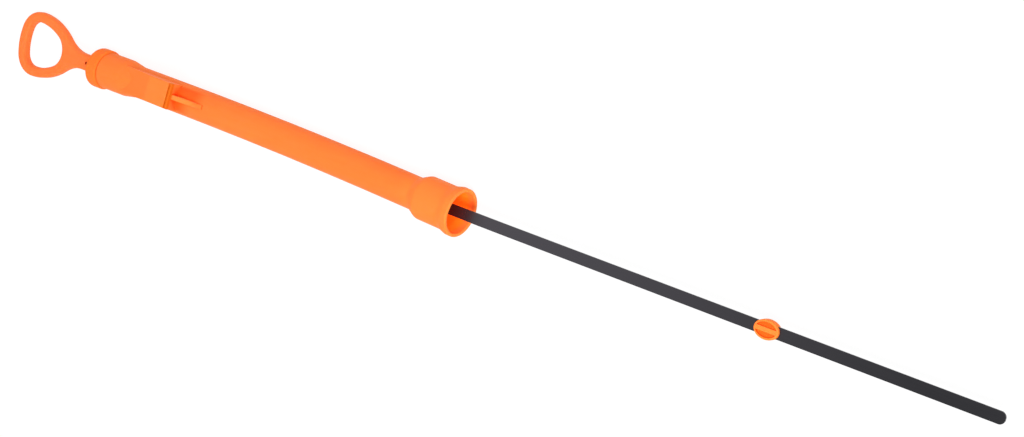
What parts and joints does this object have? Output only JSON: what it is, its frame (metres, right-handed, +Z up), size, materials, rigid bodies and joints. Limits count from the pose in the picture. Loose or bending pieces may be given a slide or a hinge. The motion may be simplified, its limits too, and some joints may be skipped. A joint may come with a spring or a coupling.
{
  "type": "engine oil dipstick in its guide tube",
  "caption": "Flat black dipstick blade on a moulded finger-loop handle, seated in a bowed plastic guide tube with a bell mouth; the handle pulls the blade out to read the oil level.",
  "frame": {"origin": "on the floor, below the middle of the whole object as it lies", "axes": "+X along the blade towards its tip, +Z up, +Y to the left of the tip's direction"},
  "size_m": [0.6088, 0.0328, 0.0255],
  "materials": {
    "orange_plastic": "satin moulded",
    "handle_plastic": "satin moulded",
    "blade_steel": "dark coated strip",
    "seal_rubber": "smooth"
  },
  "bodies": {
    "guide": {"guide_tube": "orange_plastic"},
    "dipstick": {"pull_handle": "handle_plastic", "upper_seal_ring": "seal_rubber", "lower_seal_ring": "seal_rubber", "blade": "blade_steel", "guide_bead": "orange_plastic"}
  },
  "joints": [
    {"name": "pull_out", "type": "slide", "parent": "guide", "child": "dipstick", "axis": [-1, 0.0074, -0.0004], "range_m": [0, 0.56]}
  ]
}
